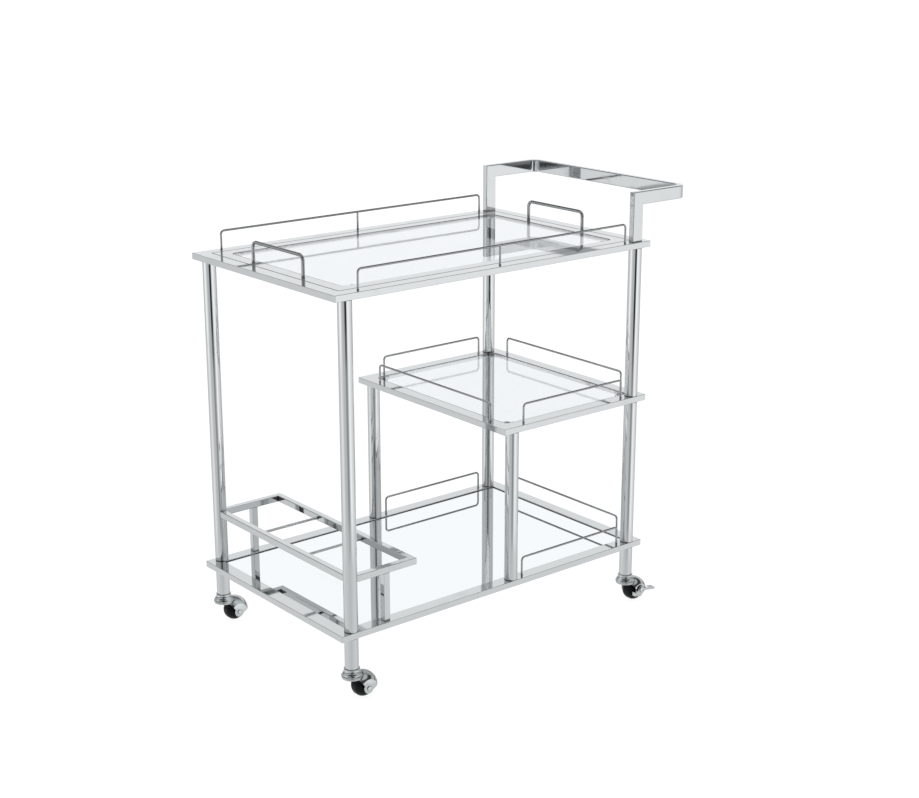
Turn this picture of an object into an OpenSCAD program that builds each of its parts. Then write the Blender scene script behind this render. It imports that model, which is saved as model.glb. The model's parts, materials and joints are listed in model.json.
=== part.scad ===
// Bar cart on wheels: three tiers in a round-tube frame, a lift-off serving tray on top,
// a bottle rack at one end, a push handle at the other and four hooded ball casters.
// X runs from the bottle-rack end to the handle end, Y from front to back, Z up from the floor.

/* [Tiers] */
// Length of the top and base tiers
tier_l = 740; // [600:1:900]
// Width of every tier
tier_w = 458; // [380:1:560]
// From the rack-end posts to the posts that carry the middle shelf
shelf_post_x = 374; // [300:1:450]
// Width of the flat tube that the tiers are framed with
frame_w = 26; // [25.4:0.2:32]
// Height of that tube
frame_h = 12; // [11:0.5:16]
// Wall of the flat tube
frame_wall = 1.2; // [0.8:0.1:2]
// From a tier's end to the centre of its posts
post_inset = 28.5; // [20:0.5:40]

/* [Posts] */
// Outer diameter of the round tube
tube_d = 25.4; // [19:0.1:25.4]
// Wall of the round tube
tube_wall = 1.5; // [1:0.1:2.5]
// Length of the posts between the base and the middle shelf
lower_post_l = 294; // [240:1:360]
// Length of the posts between the middle shelf and the top
upper_post_l = 295; // [240:1:360]
// Length of the short legs between the base and the casters
leg_l = 59; // [50:1:90]
// Radius of the threaded studs that join the tubes
stud_r = 4; // [3:0.5:5]
// How far a stud reaches into a tube
stud_reach = 13; // [8:1:14]

/* [Glass and mirror] */
// Thickness of the two glass panels
glass_t = 4; // [3:0.5:5]
// Thickness of the base mirror
mirror_t = 4; // [3:0.5:5]
// Gap all round a panel
panel_gap = 1; // [0.5:0.1:2]
// How far the glass lies below the top of its frame
glass_drop = 0.6; // [0:0.1:1.5]
// How far the mirror lies below the top of its frame
mirror_drop = 2.2; // [1:0.1:3]
// Thickness of the clear pads under the panels
pad_t = 1; // [0.5:0.1:1.5]
// Radius of the clear pads
pad_r = 5; // [3:0.5:6]
// Inner corner radius of a frame that holds a panel
panel_corner_r = 12; // [6:1:16]

/* [Serving tray] */
// Width of the serving tray's frame bar
tray_bar_w = 24; // [18:1:30]
// Gap between the serving tray and the top frame
tray_gap = 1.5; // [1:0.1:3]
// Distance between the legs of a tray grip
grip_w = 158; // [120:1:200]
// Height of a tray grip
grip_h = 42; // [35:1:60]
// Diameter of a tray grip's rod
grip_d = 6.5; // [5:0.5:8]

/* [Gallery rails] */
// Height of the gallery rails
rail_h = 38; // [30:1:60]
// Diameter of the gallery wire
rail_d = 4; // [3:0.5:6]
// From a post to the next leg of a front or back rail
rail_gap = 28; // [22:1:45]
// From the post line to the legs of a side rail
side_rail_gap = 44; // [30:1:70]
// Bend radius of the wire, to its centre line
rail_bend = 7; // [5:0.5:12]

/* [Push handle] */
// Height of the handle above the top tier
handle_rise = 96; // [80:1:140]
// From the post's centre to the handle's outer face
handle_reach = 135; // [100:1:170]
// Height of the handle's flat tube
handle_h = 25.4; // [20:0.2:32]
// Thickness of the handle's flat tube
handle_t = 12.4; // [10:0.2:16]
// Outer radius of the handle's bends
handle_bend = 25; // [18:1:40]

/* [Bottle rack] */
// From the rack-end posts to the outer face of the rack's far bar
rack_reach = 143; // [110:1:180]
// Top of the rack above the base tier
rack_rise = 104; // [80:1:140]
// Side of the rack's square tube
rack_bar = 12.7; // [10:0.1:16]
// Number of bottle cells
rack_cells = 3; // [2:1:4]
// Diameter of the wires between the cells
rack_wire_d = 5; // [4:0.5:7]
// From the rack-end posts to the centre of the rack's legs
rack_leg_x = 76; // [60:1:95]

/* [Casters] */
// Height of a caster, from the floor to the tube
caster_h = 60; // [60:1:75]
// Diameter of the wheel
wheel_d = 40; // [36:1:40]
// Width of the wheel
wheel_w = 32; // [24:1:34]
// How far the wheel trails behind the swivel axis
trail = 22; // [20:0.5:24]
// Radius of the hood
hood_r = 27.5; // [27.5:0.1:28.5]
// From the middle of the hood to the outside of a cheek
cheek_out = 21.5; // [20.5:0.1:23]
// Sheet thickness of the hood
hood_t = 2; // [1.5:0.1:2.4]
// Radius of the wheel's axle
axle_r = 2.5; // [2:0.1:3]
// Radius of the bearing cup at its rim
cup_r = 19.5; // [17:0.5:20]

/* [Hidden] */
$fn = 64;

// Clearances
fit_gap = 0.05; // a shaft in its hole, radially
body_gap = 0.4; // between pieces that move past each other
eps = 0.01; // makes a cut pass a face
sharp_r = 2.5; // inner corners of a frame that look sharp

// Heights above the floor
base_bottom = caster_h + leg_l;
base_top = base_bottom + frame_h;
shelf_bottom = base_top + lower_post_l;
shelf_top = shelf_bottom + frame_h;
top_bottom = shelf_top + upper_post_l;
top_top = top_bottom + frame_h;
handle_top = top_top + handle_rise;

// Post lines
handle_post_x = tier_l - 2 * post_inset;
back_y = tier_w - frame_w;
main_posts = [[0, 0], [0, back_y], [handle_post_x, 0], [handle_post_x, back_y]];
rack_posts = [[0, 0], [0, back_y]];
handle_posts = [[handle_post_x, 0], [handle_post_x, back_y]];
shelf_posts = [[shelf_post_x, 0], [shelf_post_x, back_y]];
shelf_l = handle_post_x - shelf_post_x + 2 * post_inset;
tube_r = tube_d / 2;
tube_bore_r = tube_r - tube_wall;

// Serving tray
ledge_t = 3;
ledge_w = 9;
tray_lift = 0.3; // what the tray clears its ledge by
tray_l = tier_l - 2 * frame_w - 2 * tray_gap;
tray_w = tier_w - 2 * frame_w - 2 * tray_gap;
tray_h = frame_h - ledge_t - tray_lift;
tray_mid_x = tier_l / 2 - post_inset;
mid_y = back_y / 2;
grip_x = tray_l / 2 - tray_bar_w / 2;

// Corner tabs of the middle shelf
tab_t = 2.5;
tab_l = 34;

// Plugs and studs
plug_l = stud_reach + 2;
stem_r = 5;
stem_reach = 20;
stem_plug_l = stem_reach + 2;

// Bottle rack
rack_top = base_top + rack_rise;
rack_bottom = rack_top - rack_bar;
cell_w = back_y / rack_cells;
rack_screw_r = 2.5;
rack_screw_reach = 12;
rack_wall = 1.2;

// Caster
wheel_r = wheel_d / 2;
ball_r = 1.5;
ball_ring_r = 13;
balls = 14;
plate_t = 2.4;
plate_r = 18.5;
cup_bottom = wheel_d + 4;
plate_top = cup_bottom - body_gap;
plate_bottom = plate_top - plate_t;
ball_z = plate_top + body_gap + ball_r;
king_pin_r = 4;
king_head_r = 6;
king_head_t = 2.2;
tread_crown = 0.5; // how far the ball's radius passes the tread's
axle_head_r = 4;
axle_head_t = 1.5;
tip_r = 10; // rounded tip of a cheek, about the axle
hood_lip_x = -18.8; // the hood's front lip under the plate, from the wheel's centre
hood_tip_x = -1.6;
hood_back_z = 8;

// Brake lever, on the outside of the front cheek
pivot_x = 1; // from the wheel's centre
pivot_z = 7;
pivot_r = 2.6;
lever_t = 1.6;
lever_in = cheek_out + axle_head_t + body_gap;
lever_out = lever_in + lever_t;
lever_ring_r = 7.5;
tongue_reach = 17;
tongue_w = 8;
tongue_drop = 8; // how far the tongue slopes down, beside the front of the wheel
tongue_level = 3; // length of its level end
tongue_in = wheel_w / 2 + 0.6; // its end is bent in to just beside the wheel
tab_reach = 38;
tab_drop = 7;
tab_w = 5;
pad_start = 26; // where the toe pad begins on the tab
pad_in = 13; // how near the toe pad comes to the middle plane
pad_skin = 0.4; // how far the toe pad lies inside the tab's outline
rivet_head_r = 5;
rivet_head_t = 1.4;
rivet_out = lever_out + body_gap + rivet_head_t;

// The origin is on the floor under the middle of the whole cart's outline
low_x = -post_inset;
high_x = handle_post_x + handle_reach;
low_y = -rivet_out;
high_y = back_y + cheek_out + axle_head_t;

module on_floor() {
    translate([-(low_x + high_x) / 2, -(low_y + high_y) / 2, 0]) children();
}

// ---------- building blocks ----------

// A flat plate with round corners, centred in X and Y, its underside at z = 0
module round_plate(l, w, h, r) {
    linear_extrude(h) {
        square([l - 2 * r, w], center = true);
        square([l, w - 2 * r], center = true);
        for (x = [-1, 1], y = [-1, 1])
            translate([x * (l / 2 - r), y * (w / 2 - r)]) circle(r);
    }
}

// A rectangle of flat tube, hollow, centred in X and Y
module tube_frame(l, w, h, bar, wall, corner_r) {
    difference() {
        translate([-l / 2, -w / 2, 0]) cube([l, w, h]);
        translate([0, 0, -eps]) round_plate(l - 2 * bar, w - 2 * bar, h + 2 * eps, corner_r);
        difference() {
            translate([-l / 2 + wall, -w / 2 + wall, wall])
                cube([l - 2 * wall, w - 2 * wall, h - 2 * wall]);
            round_plate(l - 2 * bar + 2 * wall, w - 2 * bar + 2 * wall, h, corner_r);
        }
    }
}

// A flat strip inside a frame for a panel or a tray to rest on
module ledge(opening_l, opening_w, strip_w, t, corner_r) {
    difference() {
        round_plate(opening_l + 2 * eps, opening_w + 2 * eps, t, corner_r);
        translate([0, 0, -eps])
            round_plate(opening_l - 2 * strip_w, opening_w - 2 * strip_w, t + 2 * eps, corner_r);
    }
}

// A wire bent into a low arch along X, with its feet at z = 0
module wire_arch(l, h, d, bend, legs) {
    top = h - d / 2;
    for (s = [-1, 1]) {
        translate([s * l / 2, 0, 0]) cylinder(d = d, h = top - bend);
        translate([s * (l / 2 - bend), 0, top - bend])
            rotate([90, 0, 0]) rotate([0, 0, s > 0 ? 0 : 90])
                rotate_extrude(angle = 90) translate([bend, 0]) circle(d = d);
    }
    translate([-l / 2 + bend, 0, top]) rotate([0, 90, 0]) cylinder(d = d, h = l - 2 * bend);
    if (legs > 2)
        cylinder(d = d, h = top);
}

// A round tube standing on z = 0
module round_tube(l) {
    difference() {
        cylinder(r = tube_r, h = l);
        translate([0, 0, -eps]) cylinder(r = tube_bore_r, h = l + 2 * eps);
    }
}

module post(at, z, l) {
    color("gainsboro") translate([at[0], at[1], z]) round_tube(l);
}

module lower_post(at) {
    post(at, base_top, lower_post_l);
}

module upper_post(at) {
    post(at, shelf_top, upper_post_l);
}

// The rack-end posts run from the base to the top in one piece
module long_post(at) {
    post(at, base_top, lower_post_l + frame_h + upper_post_l);
}

// Studs as [place, lowest point, highest point]
inside_top = frame_h - frame_wall - 0.2;
studs = concat(
    [for (p = main_posts) [p, base_bottom - stud_reach, base_top + stud_reach]],
    [for (p = shelf_posts) [p, base_top - inside_top, base_top + stud_reach]],
    [for (p = handle_posts) [p, shelf_bottom - stud_reach, shelf_top + stud_reach]],
    [for (p = shelf_posts) [p, shelf_bottom - stud_reach, shelf_bottom + inside_top]],
    [for (p = rack_posts) [p, top_bottom - stud_reach, top_bottom + inside_top]],
    [for (p = handle_posts) [p, top_bottom - stud_reach, top_top + stud_reach]]
);

module stud_holes() {
    for (s = studs)
        translate([s[0][0], s[0][1], s[1] - eps])
            cylinder(r = stud_r + fit_gap, h = s[2] - s[1] + 2 * eps);
}

// ---------- frames and panels ----------

module top_frame() {
    color("gainsboro") difference() {
        translate([tray_mid_x, mid_y, top_bottom]) {
            tube_frame(tier_l, tier_w, frame_h, frame_w, frame_wall, sharp_r);
            ledge(tier_l - 2 * frame_w, tier_w - 2 * frame_w, ledge_w + tray_gap, ledge_t, sharp_r);
        }
        stud_holes();
    }
}

tray_open_l = tray_l - 2 * tray_bar_w;
tray_open_w = tray_w - 2 * tray_bar_w;
tray_ledge_t = tray_h - glass_drop - glass_t - pad_t;
tray_bottom = top_top - tray_h;

module in_tray() {
    translate([tray_mid_x, mid_y, tray_bottom]) children();
}

module serving_tray_frame() {
    color("silver") in_tray() {
        tube_frame(tray_l, tray_w, tray_h, tray_bar_w, frame_wall, panel_corner_r);
        ledge(tray_open_l, tray_open_w, ledge_w, tray_ledge_t, panel_corner_r);
    }
}

// A panel that fills an opening, less the gap all round
module panel(open_l, open_w, t, corner_r) {
    round_plate(open_l - 2 * panel_gap, open_w - 2 * panel_gap, t, corner_r - panel_gap);
}

// Four clear pads just inside a frame's corners
module corner_pads(open_l, open_w, inset) {
    for (x = [-1, 1], y = [-1, 1])
        translate([x * (open_l / 2 - inset), y * (open_w / 2 - inset), 0])
            cylinder(r = pad_r, h = pad_t);
}

pad_inset = panel_gap + pad_r + 2;

// Pads that lie on a ledge, in the middle of its strip
module ledge_pads(open_l, open_w, strip_w) {
    for (x = [-1, 1], y = [-1, 1])
        translate([x * (open_l / 2 - 2 * panel_corner_r), y * (open_w / 2 - strip_w / 2), 0])
            cylinder(r = strip_w / 2 - panel_gap, h = pad_t);
}

module serving_tray_glass() {
    color("lightcyan") in_tray()
        translate([0, 0, tray_ledge_t + pad_t]) panel(tray_open_l, tray_open_w, glass_t, panel_corner_r);
}

module serving_tray_pads() {
    color("white") in_tray()
        translate([0, 0, tray_ledge_t]) ledge_pads(tray_open_l, tray_open_w, ledge_w);
}

module tray_grip(side) {
    color("gainsboro") translate([tray_mid_x + side * grip_x, mid_y, top_top])
        rotate([0, 0, 90]) wire_arch(grip_w, grip_h, grip_d, rail_bend + grip_d / 2, 2);
}

shelf_mid_x = shelf_post_x - post_inset + shelf_l / 2;
shelf_open_l = shelf_l - 2 * frame_w;
shelf_open_w = tier_w - 2 * frame_w;
shelf_glass_z = shelf_top - glass_drop - glass_t;

module shelf_frame() {
    color("gainsboro") difference() {
        translate([shelf_mid_x, mid_y, shelf_bottom])
            tube_frame(shelf_l, tier_w, frame_h, frame_w, frame_wall, panel_corner_r);
        stud_holes();
    }
}

// Three-cornered tabs under the shelf's glass, one in each inner corner
module shelf_corner_tabs() {
    color("silver") translate([shelf_mid_x, mid_y, shelf_glass_z - pad_t - tab_t])
        intersection() {
            for (x = [-1, 1], y = [-1, 1])
                translate([x * shelf_open_l / 2, y * shelf_open_w / 2, 0])
                    linear_extrude(tab_t)
                        polygon([[0, 0], [-x * tab_l, 0], [0, -y * tab_l]]);
            round_plate(shelf_open_l, shelf_open_w, tab_t, panel_corner_r);
        }
}

module shelf_glass() {
    color("lightcyan") translate([shelf_mid_x, mid_y, shelf_glass_z])
        panel(shelf_open_l, shelf_open_w, glass_t, panel_corner_r);
}

module shelf_glass_pads() {
    color("white") translate([shelf_mid_x, mid_y, shelf_glass_z - pad_t])
        corner_pads(shelf_open_l, shelf_open_w, pad_inset + 3);
}

base_open_l = tier_l - 2 * frame_w;
base_open_w = tier_w - 2 * frame_w;
mirror_z = base_top - mirror_drop - mirror_t;
base_ledge_t = mirror_z - pad_t - base_bottom;

module base_frame() {
    color("gainsboro") difference() {
        translate([tray_mid_x, mid_y, base_bottom]) {
            tube_frame(tier_l, tier_w, frame_h, frame_w, frame_wall, sharp_r);
            ledge(base_open_l, base_open_w, ledge_w, base_ledge_t, sharp_r);
        }
        stud_holes();
        for (y = [0, back_y])
            translate([rack_leg_x, y, base_bottom - eps])
                cylinder(r = rack_screw_r + fit_gap, h = frame_h + 2 * eps);
    }
}

module base_mirror() {
    color("lightsteelblue") translate([tray_mid_x, mid_y, mirror_z])
        panel(base_open_l, base_open_w, mirror_t, sharp_r);
}

module base_mirror_pads() {
    color("white") translate([tray_mid_x, mid_y, mirror_z - pad_t])
        ledge_pads(base_open_l, base_open_w, ledge_w);
}

// ---------- gallery rails ----------

module long_rail(from_x, to_x, y, z, legs) {
    color("gainsboro") translate([(from_x + to_x) / 2, y, z])
        wire_arch(to_x - from_x, rail_h, rail_d, rail_bend, legs);
}

module side_rail(x, z) {
    color("gainsboro") translate([x, mid_y, z])
        rotate([0, 0, 90]) wire_arch(back_y - 2 * side_rail_gap, rail_h, rail_d, rail_bend, 2);
}

handle_side_x = handle_post_x + post_inset - frame_w / 2;
shelf_side_x = shelf_post_x - post_inset + frame_w / 2;
rail_end_x = handle_post_x - rail_gap;

module top_rail(y) {
    long_rail(rail_gap, rail_end_x, y, top_top, 3);
}

module half_rail(y, z) {
    long_rail(shelf_post_x + rail_gap, rail_end_x, y, z, 2);
}

// ---------- push handle ----------

// The handle's outline, less an inset on every face, for its outside and its hollow
module handle_body(inset) {
    t = handle_t - 2 * inset;
    h = handle_h - 2 * inset;
    out_x = handle_post_x + handle_reach - inset;
    bend_x = handle_post_x + handle_reach - handle_bend;
    low = handle_top - handle_h + inset;
    for (s = [0, 1]) {
        y = s * back_y;
        inner = s > 0 ? -1 : 1;
        translate([handle_post_x - h / 2, y - t / 2, top_top - (inset > 0 ? eps : 0)])
            cube([h, t, handle_top - inset - top_top + (inset > 0 ? eps : 0)]);
        translate([handle_post_x, y - t / 2, low]) cube([bend_x - handle_post_x, t, h]);
        translate([bend_x, y + inner * (handle_bend - handle_t / 2), low])
            rotate([0, 0, s > 0 ? 0 : -90])
                rotate_extrude(angle = 90)
                    translate([handle_bend - handle_t + inset, 0]) square([t, h]);
    }
    bar_y = handle_bend - handle_t / 2;
    translate([out_x - t, bar_y, low]) cube([t, back_y - 2 * bar_y, h]);
}

module push_handle() {
    color("gainsboro") difference() {
        handle_body(0);
        handle_body(frame_wall);
    }
}

// ---------- posts, legs, plugs and studs ----------

module caster_legs() {
    for (p = main_posts)
        post(p, caster_h, leg_l);
}

// A threaded plug in a tube's end
module plug(at, z, l, hole_r) {
    translate([at[0], at[1], z]) difference() {
        cylinder(r = tube_bore_r - fit_gap, h = l);
        translate([0, 0, -eps]) cylinder(r = hole_r, h = l + 2 * eps);
    }
}

module tube_plugs() {
    stud_hole = stud_r + fit_gap;
    foot_l = handle_h - 2 * (frame_wall + fit_gap);
    foot_w = handle_t - 2 * (frame_wall + fit_gap);
    color("dimgray") {
        for (p = main_posts) {
            plug(p, caster_h, stem_plug_l, stem_r + fit_gap);
            plug(p, base_bottom - plug_l, plug_l, stud_hole);
            plug(p, base_top, plug_l, stud_hole);
            plug(p, top_bottom - plug_l, plug_l, stud_hole);
        }
        for (p = handle_posts) {
            plug(p, shelf_bottom - plug_l, plug_l, stud_hole);
            plug(p, shelf_top, plug_l, stud_hole);
            translate([p[0], p[1], top_top]) difference() {
                translate([-foot_l / 2, -foot_w / 2, 0]) cube([foot_l, foot_w, plug_l]);
                translate([0, 0, -eps]) cylinder(r = stud_hole, h = plug_l + 2 * eps);
            }
        }
        for (p = shelf_posts) {
            plug(p, base_top, plug_l, stud_hole);
            plug(p, shelf_bottom - plug_l, plug_l, stud_hole);
        }
    }
}

module joint_studs() {
    color("silver") for (s = studs)
        translate([s[0][0], s[0][1], s[1]]) cylinder(r = stud_r, h = s[2] - s[1]);
}

// ---------- bottle rack ----------

// A square bar along X (or along Y when turned), hollow, open at both ends
module square_tube(l) {
    difference() {
        translate([0, -rack_bar / 2, 0]) cube([l, rack_bar, rack_bar]);
        translate([-eps, -rack_bar / 2 + rack_wall, rack_wall])
            cube([l + 2 * eps, rack_bar - 2 * rack_wall, rack_bar - 2 * rack_wall]);
    }
}

module rack_post_clearance() {
    for (p = rack_posts)
        translate([p[0], p[1], rack_bottom - eps]) cylinder(r = tube_r, h = rack_bar + 2 * eps);
}

module bottle_rack_end_bar() {
    color("gainsboro") difference() {
        translate([0, 0, rack_bottom]) rotate([0, 0, 90]) square_tube(back_y);
        rack_post_clearance();
    }
}

module bottle_rack_frame() {
    far_x = rack_reach - rack_bar / 2;
    hollow = rack_bar - 2 * rack_wall;
    color("gainsboro") difference() {
        union() {
            for (y = [0, back_y])
                translate([0, y, rack_bottom]) square_tube(rack_reach - rack_bar);
            difference() {
                translate([rack_reach - rack_bar, -rack_bar / 2, rack_bottom])
                    cube([rack_bar, back_y + rack_bar, rack_bar]);
                translate([far_x - hollow / 2, -hollow / 2, rack_bottom + rack_wall])
                    cube([hollow, back_y + hollow, hollow]);
            }
        }
        rack_post_clearance();
    }
}

module bottle_rack_dividers() {
    low_end = rack_bar / 2;
    high_end = rack_reach - rack_bar;
    color("gainsboro") for (i = [1 : rack_cells - 1])
        translate([low_end, i * cell_w, rack_top - rack_bar / 2])
            rotate([0, 90, 0]) cylinder(d = rack_wire_d, h = high_end - low_end);
}

module rack_leg(y) {
    color("gainsboro") translate([rack_leg_x, y, base_top]) difference() {
        translate([-rack_bar / 2, -rack_bar / 2, 0]) cube([rack_bar, rack_bar, rack_bottom - base_top]);
        translate([0, 0, -eps])
            cylinder(r = rack_screw_r + fit_gap, h = rack_screw_reach + 1);
    }
}

// Screws from under the base into the rack's legs
module bottle_rack_leg_screws() {
    head_t = 2;
    color("silver") for (y = [0, back_y])
        translate([rack_leg_x, y, base_bottom - head_t]) {
            cylinder(r = 2 * rack_screw_r, h = head_t);
            cylinder(r = rack_screw_r, h = head_t + frame_h + rack_screw_reach);
        }
}

// ---------- casters ----------

// The fixed half of a caster: its threaded stem ends in the king pin that the hood turns on
module stem(at) {
    translate([at[0], at[1], 0]) {
        translate([0, 0, cup_bottom]) cylinder(r = stem_r, h = caster_h + stem_reach - cup_bottom);
        translate([0, 0, plate_bottom - body_gap - king_head_t]) {
            cylinder(r = king_pin_r, h = cup_bottom - plate_bottom + body_gap + king_head_t);
            cylinder(r = king_head_r, h = king_head_t);
        }
    }
}

module caster_stems() {
    color("silver") for (p = main_posts)
        stem(p);
}

// A bearing cup, turned from one profile, with the ball race pressed into its underside
module cup() {
    race_in = ball_ring_r - ball_r - 1;
    race_out = ball_ring_r + ball_r + 1;
    race_top = ball_z + ball_r;
    rotate_extrude() polygon([
        [stem_r + fit_gap, cup_bottom],
        [race_in, cup_bottom],
        [race_in, race_top],
        [race_out, race_top],
        [race_out, cup_bottom],
        [cup_r, cup_bottom],
        [cup_r, cup_bottom + 3.5],
        [cup_r - 2, cup_bottom + 6],
        [tube_r + 1.5, caster_h - 3],
        [tube_r - 0.5, caster_h],
        [stem_r + fit_gap, caster_h]
    ]);
}

module caster_cups() {
    color("gainsboro") for (p = main_posts)
        translate([p[0], p[1], 0]) cup();
}

module caster_bearing_balls() {
    color("silver") for (p = main_posts, i = [0 : balls - 1])
        translate([p[0], p[1], ball_z])
            rotate([0, 0, i * 360 / balls]) translate([ball_ring_r, 0, 0]) sphere(ball_r, $fn = 24);
}

// What the hood covers, seen from the side, about the wheel's centre
module hood_side() {
    circle(tip_r);
    polygon([
        [hood_lip_x - 6, hood_r + 4],
        [hood_lip_x, plate_bottom - wheel_r],
        [hood_tip_x - tip_r * 0.75, tip_r * 0.6],
        [hood_tip_x, -tip_r],
        [hood_r + 4, hood_back_z],
        [hood_r + 4, hood_r + 4]
    ]);
}

module ball_slice(r, half_w) {
    intersection() {
        sphere(r, $fn = 96);
        translate([-r, -half_w, -r]) cube([2 * r, 2 * half_w, 2 * r]);
    }
}

module hood(at, braked) {
    color("gainsboro") translate([at[0], at[1], 0]) difference() {
        union() {
            difference() {
                translate([trail, 0, wheel_r]) intersection() {
                    ball_slice(hood_r, cheek_out);
                    rotate([90, 0, 0]) linear_extrude(3 * cheek_out, center = true) hood_side();
                }
                translate([trail, 0, wheel_r]) ball_slice(hood_r - hood_t, cheek_out - hood_t);
                translate([0, 0, plate_top]) cylinder(r = cup_r + 1, h = hood_r);
                translate([0, 0, plate_bottom - 2 * body_gap - king_head_t])
                    cylinder(r = king_head_r + body_gap, h = 2 * body_gap + king_head_t);
            }
            translate([0, 0, plate_bottom]) cylinder(r = plate_r, h = plate_t);
        }
        cylinder(r = king_pin_r + fit_gap, h = caster_h);
        translate([trail, 0, wheel_r]) rotate([90, 0, 0])
            cylinder(r = axle_r + fit_gap, h = 3 * cheek_out, center = true);
        if (braked)
            translate([trail + pivot_x, 0, wheel_r + pivot_z]) rotate([90, 0, 0])
                cylinder(r = pivot_r + fit_gap, h = 2 * cheek_out);
    }
}

module wheel(at) {
    color("black") translate([at[0] + trail, at[1], wheel_r]) difference() {
        intersection() {
            ball_slice(wheel_r + tread_crown, wheel_w / 2);
            rotate([90, 0, 0]) cylinder(r = wheel_r, h = wheel_w, center = true, $fn = 96);
        }
        rotate([90, 0, 0]) cylinder(r = axle_r + fit_gap, h = wheel_w + 1, center = true);
    }
}

module axle(at) {
    half = cheek_out + axle_head_t;
    color("silver") translate([at[0] + trail, at[1], wheel_r]) rotate([90, 0, 0]) {
        cylinder(r = axle_r, h = 2 * half, center = true);
        for (s = [-1, 1])
            translate([0, 0, s * (half - axle_head_t / 2)])
                cylinder(r = axle_head_r, h = axle_head_t, center = true);
    }
}

pad_end = tab_reach - pad_skin;
function tab_top(x) = tab_w / 2 - x * tab_drop / tab_reach;

// A lever of bent sheet: a ring on the rivet, a toe tab behind and a short tongue in front
module brake_lever(at) {
    color("silver") translate([at[0] + trail + pivot_x, at[1], wheel_r + pivot_z]) difference() {
        union() {
            translate([0, -lever_in, 0]) rotate([90, 0, 0]) linear_extrude(lever_t) {
                circle(lever_ring_r);
                polygon([
                    [0, tongue_w / 2],
                    [tongue_level - tongue_reach, tongue_w / 2 - tongue_drop],
                    [-tongue_reach, tongue_w / 2 - tongue_drop],
                    [-tongue_reach, -tongue_w / 2 - tongue_drop],
                    [tongue_level - tongue_reach, -tongue_w / 2 - tongue_drop],
                    [0, -tongue_w / 2]
                ]);
                polygon([
                    [0, -tab_w / 2],
                    [tab_reach, -tab_drop - tab_w / 2],
                    [tab_reach, -tab_drop + tab_w / 2],
                    [0, tab_w / 2]
                ]);
            }
            translate([-tongue_reach, -lever_out, -tongue_w / 2 - tongue_drop])
                cube([lever_t, lever_out - tongue_in, tongue_w]);
            translate([0, -pad_in, 0]) rotate([90, 0, 0])
                linear_extrude(lever_out - pad_skin - pad_in)
                    polygon([
                        [pad_start, tab_top(pad_start) - pad_skin],
                        [pad_end, tab_top(pad_end) - pad_skin],
                        [pad_end, tab_top(pad_end) - pad_skin - lever_t],
                        [pad_start, tab_top(pad_start) - pad_skin - lever_t]
                    ]);
        }
        rotate([90, 0, 0]) cylinder(r = pivot_r + fit_gap, h = 2 * lever_out);
    }
}

module brake_rivet(at) {
    shank = rivet_out - cheek_out + hood_t;
    color("silver") translate([at[0] + trail + pivot_x, at[1] - cheek_out + hood_t, wheel_r + pivot_z])
        rotate([90, 0, 0]) {
            cylinder(r = pivot_r, h = shank);
            translate([0, 0, shank - rivet_head_t]) cylinder(r = rivet_head_r, h = rivet_head_t);
        }
}

// ---------- every node ----------

rack_front = main_posts[0];
rack_back = main_posts[1];
handle_front = main_posts[2];
handle_back = main_posts[3];

on_floor() top_frame();
on_floor() top_rail(0);  // top_rail_front
on_floor() top_rail(back_y);  // top_rail_back
on_floor() push_handle();
on_floor() serving_tray_frame();
on_floor() serving_tray_glass();
on_floor() serving_tray_pads();
on_floor() tray_grip(-1);  // tray_grip_rack_end
on_floor() tray_grip(1);  // tray_grip_handle_end
on_floor() shelf_frame();
on_floor() shelf_corner_tabs();
on_floor() shelf_glass();
on_floor() shelf_glass_pads();
on_floor() half_rail(0, shelf_top);  // shelf_rail_front
on_floor() half_rail(back_y, shelf_top);  // shelf_rail_back
on_floor() side_rail(shelf_side_x, shelf_top);  // shelf_rail_rack_side
on_floor() side_rail(handle_side_x, shelf_top);  // shelf_rail_handle_side
on_floor() base_frame();
on_floor() base_mirror();
on_floor() base_mirror_pads();
on_floor() half_rail(0, base_top);  // base_rail_front
on_floor() half_rail(back_y, base_top);  // base_rail_back
on_floor() side_rail(handle_side_x, base_top);  // base_rail_handle_side
on_floor() long_post(rack_front);  // post_rack_front
on_floor() long_post(rack_back);  // post_rack_back
on_floor() lower_post(handle_front);  // post_handle_front_lower
on_floor() upper_post(handle_front);  // post_handle_front_upper
on_floor() lower_post(handle_back);  // post_handle_back_lower
on_floor() upper_post(handle_back);  // post_handle_back_upper
on_floor() lower_post(shelf_posts[0]);  // shelf_post_front
on_floor() lower_post(shelf_posts[1]);  // shelf_post_back
on_floor() caster_legs();
on_floor() tube_plugs();
on_floor() joint_studs();
on_floor() bottle_rack_end_bar();
on_floor() bottle_rack_frame();
on_floor() bottle_rack_dividers();
on_floor() rack_leg(0);  // bottle_rack_leg_front
on_floor() rack_leg(back_y);  // bottle_rack_leg_back
on_floor() bottle_rack_leg_screws();
on_floor() caster_stems();
on_floor() caster_cups();
on_floor() caster_bearing_balls();
on_floor() hood(rack_front, false);  // hood_rack_front
on_floor() hood(rack_back, false);  // hood_rack_back
on_floor() hood(handle_front, true);  // hood_handle_front
on_floor() hood(handle_back, true);  // hood_handle_back
on_floor() wheel(rack_front);  // wheel_rack_front
on_floor() wheel(rack_back);  // wheel_rack_back
on_floor() wheel(handle_front);  // wheel_handle_front
on_floor() wheel(handle_back);  // wheel_handle_back
on_floor() axle(rack_front);  // axle_rack_front
on_floor() axle(rack_back);  // axle_rack_back
on_floor() axle(handle_front);  // axle_handle_front
on_floor() axle(handle_back);  // axle_handle_back
on_floor() brake_lever(handle_front);  // brake_lever_front
on_floor() brake_lever(handle_back);  // brake_lever_back
on_floor() brake_rivet(handle_front);  // brake_rivet_front
on_floor() brake_rivet(handle_back);  // brake_rivet_back
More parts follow.
